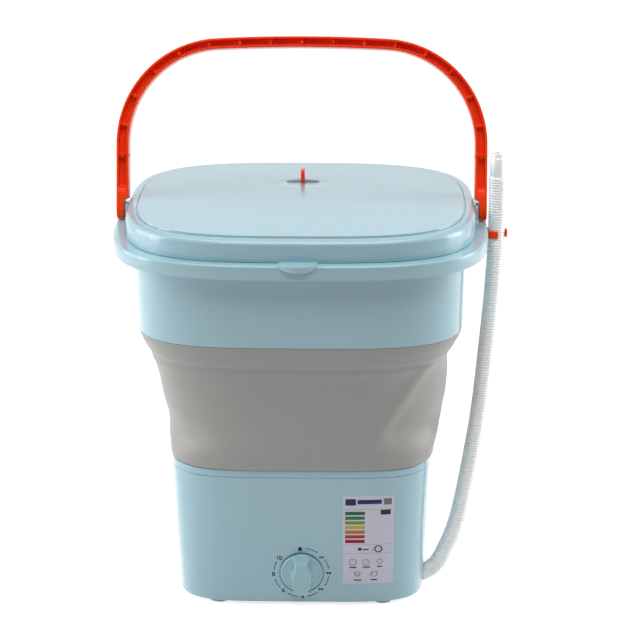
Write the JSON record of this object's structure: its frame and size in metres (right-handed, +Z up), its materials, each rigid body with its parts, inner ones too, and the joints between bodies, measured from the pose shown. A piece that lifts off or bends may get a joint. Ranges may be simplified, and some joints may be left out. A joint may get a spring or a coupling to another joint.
{
  "type": "folding mini washing machine",
  "caption": "Portable washing tub with a tapered drive base, a soft folding wall, a rigid rim with lid and carry handle, a timer knob, and a corrugated drain hose clipped upright.",
  "frame": {"origin": "on the floor, under the middle of the base", "axes": "+Z up, -Y to the front with the knob, +X to the side with the hose"},
  "size_m": [0.3897, 0.3116, 0.5603],
  "materials": {
    "pale_blue": "moulded ABS with a soft gloss",
    "blue_trim": "moulded ABS, satin",
    "grey_soft": "soft thermoplastic rubber, satin",
    "orange": "moulded polypropylene, glossy",
    "hose_white": "translucent corrugated polyethylene",
    "white_plastic": "moulded polypropylene",
    "black_plastic": "glass-filled nylon",
    "black_rubber": "moulded rubber",
    "steel": "plain zinc-plated steel",
    "lamination": "varnished steel sheets",
    "copper": "enamelled copper wire",
    "aluminium": "die-cast aluminium"
  },
  "bodies": {
    "base": {"base_housing": "pale_blue", "base_plate": "blue_trim", "foot_front_left": "blue_trim", "foot_front_right": "blue_trim", "foot_rear_left": "blue_trim", "foot_rear_right": "blue_trim", "plate_screw_front_left": "steel", "plate_screw_front_right": "steel", "plate_screw_rear_left": "steel", "plate_screw_rear_right": "steel", "motor_screw_front_left": "steel", "motor_screw_front_right": "steel", "motor_screw_rear_left": "steel", "motor_screw_rear_right": "steel", "tub_bowl": "pale_blue", "drain_strainer": "white_plastic", "drain_elbow": "white_plastic", "cable_gland": "black_rubber", "bearing_housing": "aluminium", "upper_bearing": "steel", "lower_bearing": "steel", "shaft_seal": "black_rubber", "drive_belt": "black_rubber", "motor_stator": "lamination", "upper_winding": "copper", "lower_winding": "copper", "upper_end_cap": "aluminium", "lower_end_cap": "aluminium", "motor_bracket": "steel", "run_capacitor": "white_plastic", "timer_body": "black_plastic", "bellows": "grey_soft", "drain_hose": "hose_white"},
    "upper": {"upper_rim": "pale_blue", "hose_clip": "orange"},
    "lid": {"lid": "pale_blue", "lid_grip": "orange"},
    "handle": {"carry_handle": "orange"},
    "knob": {"timer_knob": "pale_blue", "timer_shaft": "white_plastic"},
    "pulsator": {"pulsator": "white_plastic", "pulsator_screw": "steel", "pulsator_cap": "blue_trim", "drive_shaft": "steel", "driven_pulley": "black_plastic", "pulley_nut": "steel"},
    "motor": {"motor_rotor": "steel", "motor_pulley": "aluminium"}
  },
  "joints": [
    {"name": "body_fold", "type": "slide", "parent": "base", "child": "upper", "axis": [0, 0, 1], "range_m": [-0.2, 0], "deforming": ["bellows", "drain_hose"]},
    {"name": "lid_lift", "type": "slide", "parent": "upper", "child": "lid", "axis": [0, 0, 1], "range_m": [0, 0.06]},
    {"name": "handle_swing", "type": "hinge", "parent": "upper", "child": "handle", "pos_m": [0, 0, 0.3935], "axis": [1, 0, 0], "range_deg": [-73, 107]},
    {"name": "knob_turn", "type": "hinge", "parent": "base", "child": "knob", "pos_m": [0.0012, -0.0948, 0.038], "axis": [0, -0.9992, -0.0393], "range_deg": [-315, 0]},
    {"name": "pulsator_spin", "type": "hinge", "parent": "base", "child": "pulsator", "pos_m": [0, 0, 0.1], "axis": [0, 0, 1], "continuous": true},
    {"name": "motor_spin", "type": "hinge", "parent": "base", "child": "motor", "pos_m": [-0.08, 0, 0.06], "axis": [0, 0, 1], "continuous": true}
  ],
  "couplings": [
    {"joint": "motor_spin", "follows": "pulsator_spin", "ratio": 3.4615}
  ]
}
